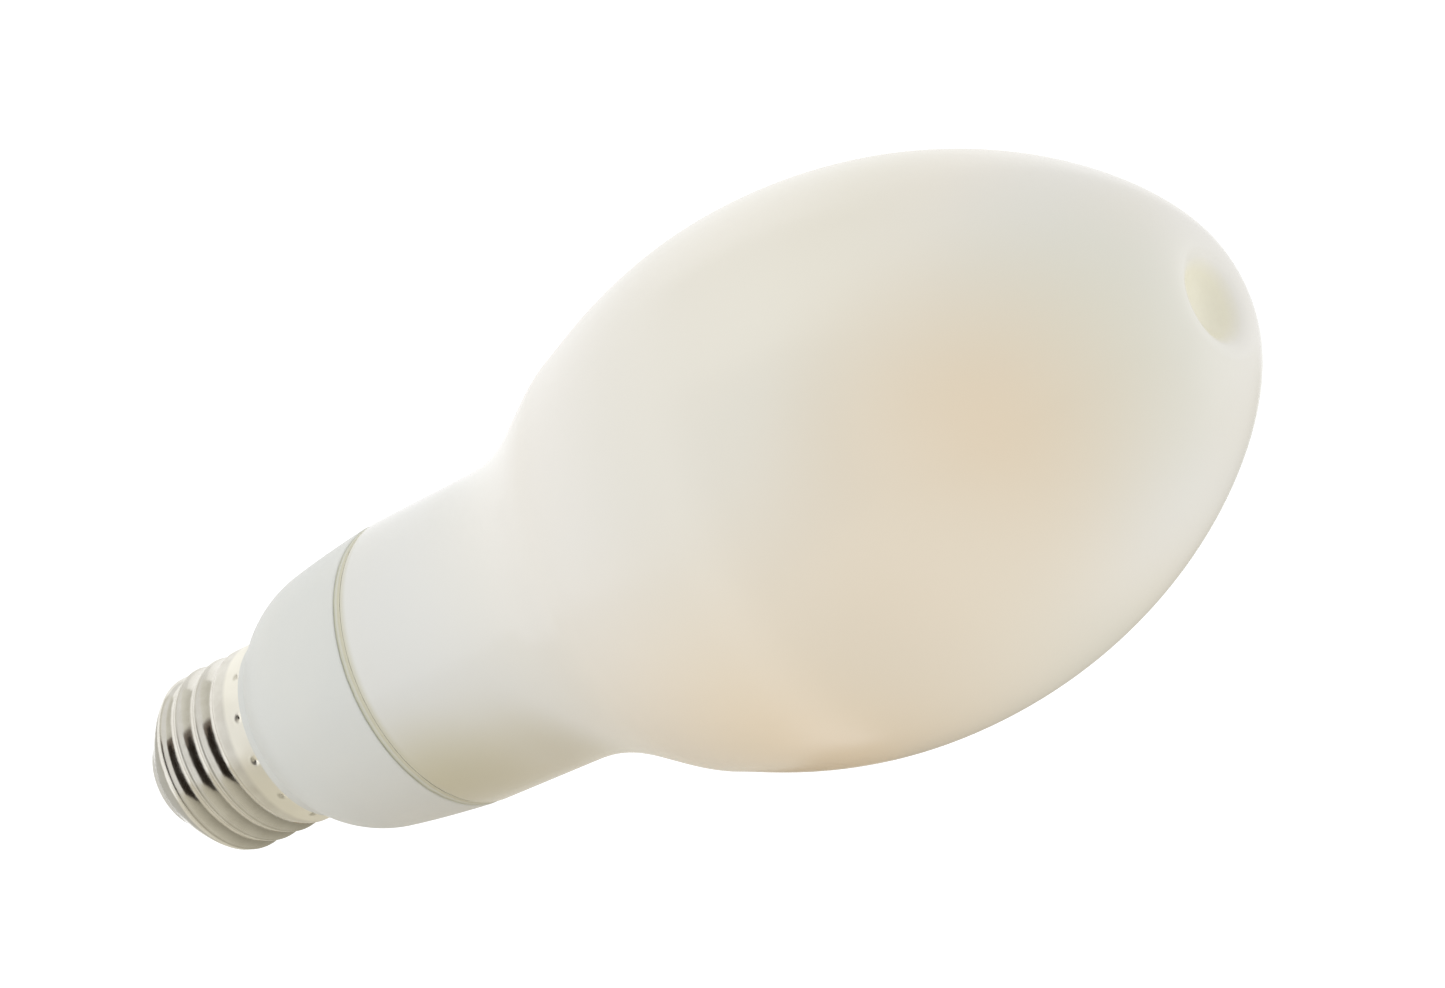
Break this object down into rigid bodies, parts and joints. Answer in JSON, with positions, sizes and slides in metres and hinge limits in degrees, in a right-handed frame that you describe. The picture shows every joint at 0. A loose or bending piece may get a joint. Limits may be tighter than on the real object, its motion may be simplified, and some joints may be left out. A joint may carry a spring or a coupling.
{
  "type": "led hid replacement bulb",
  "caption": "Screw-base LED lamp: milky ellipsoidal glass bulb with a dimpled dome, white moulded collar, threaded metal cap and a driver board inside.",
  "frame": {"origin": "centre of the contact pin's flat face, at the lower end of the screw cap", "axes": "+Z along the lamp's axis from the cap to the dome; -Y faces the pictured side and +X completes the right-handed frame"},
  "size_m": [0.0754, 0.0754, 0.1796],
  "materials": {
    "milky_glass": "gloss over a milky inner coat",
    "sealant": "matte",
    "white_plastic": "satin",
    "nickel_plate": "rolled and plated",
    "cream_moulding": "satin",
    "black_moulding": "satin",
    "brass": "pressed",
    "board_laminate": "solder mask",
    "ferrite": "matte",
    "nylon": "matte",
    "enamelled_copper": "enamelled",
    "can_sleeve": "gloss",
    "shrink_sleeve": "matte",
    "blue_ceramic": "satin",
    "film_case": "gloss",
    "wire_insulation": "matte"
  },
  "bodies": {
    "root": {"glass_bulb": "milky_glass", "seam_sealant": "sealant", "base_collar": "white_plastic", "screw_shell": "nickel_plate", "base_insulator": "cream_moulding", "contact_eyelet": "brass", "contact_pin": "nickel_plate", "driver_board": "board_laminate", "choke_core": "ferrite", "choke_bobbin": "nylon", "choke_winding": "enamelled_copper", "storage_capacitor": "can_sleeve", "output_capacitor": "can_sleeve", "filter_inductor": "shrink_sleeve", "fuse_resistor": "blue_ceramic", "varistor": "blue_ceramic", "film_capacitor": "film_case", "bridge_rectifier": "black_moulding", "driver_chip": "black_moulding", "freewheel_diode": "black_moulding", "live_lead": "wire_insulation", "neutral_lead": "nickel_plate", "stem_lead_positive": "nickel_plate", "stem_lead_negative": "nickel_plate"}
  },
  "joints": []
}
